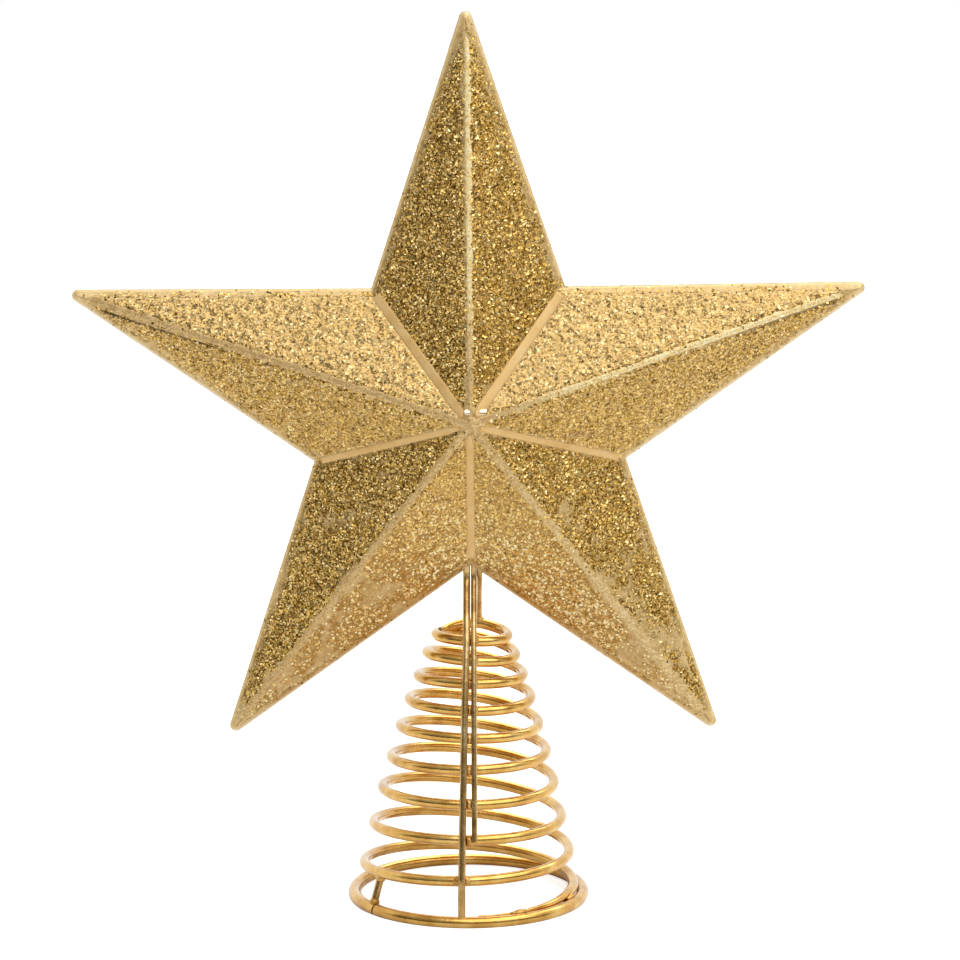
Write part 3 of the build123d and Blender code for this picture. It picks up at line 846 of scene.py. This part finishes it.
# Glitter: coarse six sided flakes of metal film shaken onto wet glue, thick on the panels, thin elsewhere.
# Each lies at its own tilt, so that some flash and some look dark. Where a facet looks up or down the flakes
# lie flatter, and their tones are painted by facing to stand in for the light of the lamp above and the
# floor.
flake_sizes = {
    "Density": 2.5e6, "Flake": 0.00034, "Thickness": 0.00006, "Tilt": 0.50, "Settled": 0.55, "Seed": 0.0}
smallest_flake, largest_flake = 0.6, 1.35
group, given, result = new_tree("shaken_glitter", flake_sizes, True)
size = given.outputs
cover = put(group.nodes, "GeometryNodeInputNamedAttribute", data_type="FLOAT")
cover.inputs["Name"].default_value = "coat"
spots = put(group.nodes, "GeometryNodeDistributePointsOnFaces", distribute_method="RANDOM")
film = put(group.nodes, "GeometryNodeMeshCylinder", {"Vertices": 6, "Side Segments": 1, "Fill Segments": 1},
           fill_type="NGON")
scatter = put(group.nodes, "GeometryNodeInstanceOnPoints")
tilts = put(group.nodes, "FunctionNodeRandomValue", data_type="FLOAT_VECTOR")
turns = put(group.nodes, "FunctionNodeEulerToRotation")
tilted = put(group.nodes, "FunctionNodeRotateRotation", rotation_space="LOCAL")
scales = put(group.nodes, "FunctionNodeRandomValue", data_type="FLOAT")
tones = put(group.nodes, "FunctionNodeRandomValue", data_type="FLOAT")
keep_tone = put(group.nodes, "GeometryNodeStoreNamedAttribute", data_type="FLOAT", domain="INSTANCE")
keep_tone.inputs["Name"].default_value = "tone"
realize = put(group.nodes, "GeometryNodeRealizeInstances")
paint = put(group.nodes, "GeometryNodeSetMaterial")
seed = size["Seed"]
density = calc("MULTIPLY", size["Density"], cover.outputs["Attribute"])
group.links.new(density, spots.inputs["Density"])
tie(group.links, (given, "Geometry", spots, "Mesh"), (given, "Seed", spots, "Seed"),
    (given, "Flake", film, "Radius"), (given, "Thickness", film, "Depth"))
# flakes lie flatter where a facet looks up, or looks down low on the star or in its right half
lowest = put(group.nodes, "ShaderNodeCombineXYZ")
highest = put(group.nodes, "ShaderNodeCombineXYZ", {"Z": 2 * pi})
facing = put(group.nodes, "ShaderNodeSeparateXYZ")
tie(group.links, (spots, "Normal", facing, "Vector"))
looks_up = eased(calc("DIVIDE", calc("SUBTRACT", facing.outputs["Z"], 0.15), 0.25))
where = put(group.nodes, "ShaderNodeSeparateXYZ")
group.links.new(put(group.nodes, "GeometryNodeInputPosition").outputs["Position"], where.inputs["Vector"])
low = eased(calc("DIVIDE", calc("SUBTRACT", 0.149, where.outputs["Z"]), 0.08))
right_half = eased(calc("DIVIDE", calc("ADD", where.outputs["X"], 0.05), 0.05))
looks_down = calc("MULTIPLY", eased(calc("DIVIDE", calc("SUBTRACT", -0.10, facing.outputs["Z"]), 0.25)),
                  calc("ADD", calc("MULTIPLY", right_half, 0.25), calc("MULTIPLY", low, 0.75)))
settled = calc("MULTIPLY", size["Settled"], calc("MAXIMUM", looks_up, looks_down))
tilt = calc("MULTIPLY", size["Tilt"], calc("SUBTRACT", 1.0, settled))
for axis in "XY":
    group.links.new(calc("MULTIPLY", tilt, -1.0), lowest.inputs[axis])
    group.links.new(tilt, highest.inputs[axis])
tie(group.links, (lowest, "Vector", tilts, "Min"), (highest, "Vector", tilts, "Max"))
group.links.new(calc("ADD", seed, 11.0), tilts.inputs["Seed"])
tie(group.links, (tilts, "Value", turns, "Euler"), (spots, "Rotation", tilted, "Rotation"),
    (turns, "Rotation", tilted, "Rotate By"))
# each flake has its own size, and a turn and tilt from the draw above
for limit, value in (("Min", smallest_flake), ("Max", largest_flake)):
    [s for s in scales.inputs if s.name == limit and s.enabled][0].default_value = value
group.links.new(calc("ADD", seed, 23.0), scales.inputs["Seed"])
group.links.new(calc("ADD", seed, 37.0), tones.inputs["Seed"])
tie(group.links, (spots, "Points", scatter, "Points"), (film, "Mesh", scatter, "Instance"),
    (tilted, "Rotation", scatter, "Rotation"))
group.links.new([s for s in scales.outputs if s.enabled][0], scatter.inputs["Scale"])
tie(group.links, (scatter, "Instances", keep_tone, "Geometry"))
# each flake keeps a tone painted by facing: paler where a facet looks down, most of all low on the star, as
# painted floor light, and mostly dim with few bright ones where it looks up, toned down under the lamp above
drawn = [s for s in tones.outputs if s.enabled][0]
picked = calc("MULTIPLY", drawn, calc("SUBTRACT", 1.0, settled))
painted_floor_light = calc("ADD", 0.08, calc("MULTIPLY", low, 1.42))
picked = calc("ADD", picked, calc("MULTIPLY", size["Settled"], calc("MULTIPLY", looks_down, painted_floor_light)))
few_bright = calc("ADD", 0.10, calc("MULTIPLY", 0.88, calc("POWER", drawn, 3.0)))
toned = calc("ADD", picked, calc("MULTIPLY", looks_up, calc("SUBTRACT", few_bright, picked)))
group.links.new(toned, keep_tone.inputs["Value"])
keep_pale = put(group.nodes, "GeometryNodeStoreNamedAttribute", data_type="FLOAT", domain="INSTANCE")
keep_pale.inputs["Name"].default_value = "pale"
group.links.new(calc("MAXIMUM", looks_up, calc("MULTIPLY", looks_down, 0.3)), keep_pale.inputs["Value"])
tie(group.links, (keep_tone, "Geometry", keep_pale, "Geometry"), (keep_pale, "Geometry", realize, "Geometry"),
    (realize, "Geometry", paint, "Geometry"), (given, "Material", paint, "Material"),
    (paint, "Geometry", result, "Geometry"))

# the film of the flakes: gold by their tone, hazed towards a pale dust colour where they are marked pale, on
# facets that look up or down: partly dust, partly painted light
glitter_film, nodes, links, shader = new_finish("glitter_film")
tone_of = put(nodes, "ShaderNodeAttribute", attribute_name="tone")
film_tone = colour_steps(
    nodes, (0.0, (0.20, 0.097, 0.012)), (0.3, (0.58, 0.35, 0.063)), (0.7, (0.90, 0.61, 0.18)),
    (1.0, (1.0, 0.83, 0.46)))
place = put(nodes, "ShaderNodeTexCoord")
haze = put(nodes, "ShaderNodeTexNoise", {"Scale": 2200.0, "Detail": 2.0})
gloss = span(nodes, 0.3, 0.7, 0.16, 0.38)
tie(links, (tone_of, "Fac", film_tone, "Fac"), (place, "Object", haze, "Vector"),
    (haze, "Fac", gloss, "Value"))
pale_of = put(nodes, "ShaderNodeAttribute", attribute_name="pale")
clear = span(nodes, 0.10, 0.40, 0.26, 0.52)
dust_and_painted_light = put(nodes, "ShaderNodeMath", operation="MULTIPLY")
dust = put(nodes, "ShaderNodeMix", data_type="RGBA")
dust.inputs["B"].default_value = (0.565, 0.48, 0.31, 1)
tie(links, (tone_of, "Fac", clear, "Value"), (pale_of, "Fac", dust_and_painted_light, 0), (clear, "Result", dust_and_painted_light, 1),
    (dust_and_painted_light, "Value", dust, "Factor"), (film_tone, "Color", dust, "A"), (dust, "Result", shader, "Base Color"),
    (gloss, "Result", shader, "Roughness"))
shader.inputs["Metallic"].default_value = 1.0

for number, (name, piece) in enumerate({**panels, **dusted}.items()):
    glitter = grown("glitter_" + name, piece.data, group, dict(flake_sizes, Seed=number + 1.0), glitter_film)
    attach(glitter, "root")

# Floor, light and camera: a white sweep lit from the upper right, with a dimmer room in front.
# The camera alone sees the sweep brightened and the room as plain white.
floor_mesh = bpy.data.meshes.new("floor")
floor_mesh.from_pydata([(-2, -2, 0), (2, -2, 0), (2, 2, 0), (-2, 2, 0)], [], [(0, 1, 2, 3)])
floor = bpy.data.objects.new("floor", floor_mesh)
bpy.context.collection.objects.link(floor)
paper, nodes, links, shader = new_finish("white_paper")
shader.inputs["Base Color"].default_value = (0.80, 0.80, 0.80, 1)
shader.inputs["Roughness"].default_value = 0.9
ray = put(nodes, "ShaderNodeLightPath")
seen = put(nodes, "ShaderNodeMath", operation="MULTIPLY")
seen.inputs[1].default_value = 0.62
shader.inputs["Emission Color"].default_value = (1, 1, 1, 1)
tie(links, (ray, "Is Camera Ray", seen, 0), (seen, "Value", shader, "Emission Strength"))
floor_mesh.materials.append(paper)
floor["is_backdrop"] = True

world = bpy.data.worlds.new("studio")
bpy.context.scene.world = world
world.use_nodes = True
nodes, links = world.node_tree.nodes, world.node_tree.links
sky = nodes["Background"]
place = put(nodes, "ShaderNodeTexCoord")
parts = put(nodes, "ShaderNodeSeparateXYZ")
soft = {"interpolation_type": "SMOOTHSTEP"}
across = span(nodes, -0.9, 0.9, 0.03, 0.30, **soft)
behind = span(nodes, -0.45, 0.15, 0.0, 1.0, **soft)
above = span(nodes, -0.05, 0.76, 0.0, 0.76, **soft)
slant = span(nodes, -0.9, 0.9, 0.6, 1.1, **soft)
overhead = put(nodes, "ShaderNodeMath", operation="MULTIPLY")
room = put(nodes, "ShaderNodeMath", operation="MAXIMUM")
whole = put(nodes, "ShaderNodeMath", operation="MAXIMUM")
ray = put(nodes, "ShaderNodeLightPath")
level = put(nodes, "ShaderNodeMath", operation="MAXIMUM")
tie(links, (place, "Generated", parts, "Vector"), (parts, "X", across, "Value"), (parts, "X", slant, "Value"),
    (parts, "Y", behind, "Value"), (parts, "Z", above, "Value"), (behind, "Result", room, 0),
    (above, "Result", overhead, 0), (slant, "Result", overhead, 1), (overhead, "Value", room, 1),
    (room, "Value", whole, 0), (across, "Result", whole, 1), (whole, "Value", level, 0),
    (ray, "Is Camera Ray", level, 1), (level, "Value", sky, "Strength"))
sky.inputs["Color"].default_value = (1, 1, 1, 1)


def soft_box(name, spot, aim, width, height, power):
    lamp = bpy.data.lights.new(name, "AREA")
    lamp.shape = "RECTANGLE"
    lamp.size, lamp.size_y, lamp.energy = width, height, power
    holder = bpy.data.objects.new(name, lamp)
    holder.location = spot
    holder.rotation_euler = (Vector(aim) - Vector(spot)).to_track_quat("-Z", "Y").to_euler()
    bpy.context.collection.objects.link(holder)


lamp_aim = (0, 0, 0.13)
key_power, rim_power = 8.2, 5.0
soft_box("key_light", (0.40, -0.60, 1.10), lamp_aim, 1.6, 1.2, key_power)
soft_box("rim_light", (0.25, 0.45, 0.95), lamp_aim, 1.1, 0.8, rim_power)

looking_down = 0.198
camera = bpy.data.objects.new("camera", bpy.data.cameras.new("camera"))
camera.data.lens, camera.data.sensor_width = 184.7, 36.0
camera.location = (0.0030, -1.250, 0.3621)
camera.rotation_euler = (pi / 2 - looking_down, 0, 0)
bpy.context.collection.objects.link(camera)
bpy.context.scene.camera = camera
bpy.context.scene.view_settings.view_transform = "Standard"

# Sizes: the box of the finished part.
low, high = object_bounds()
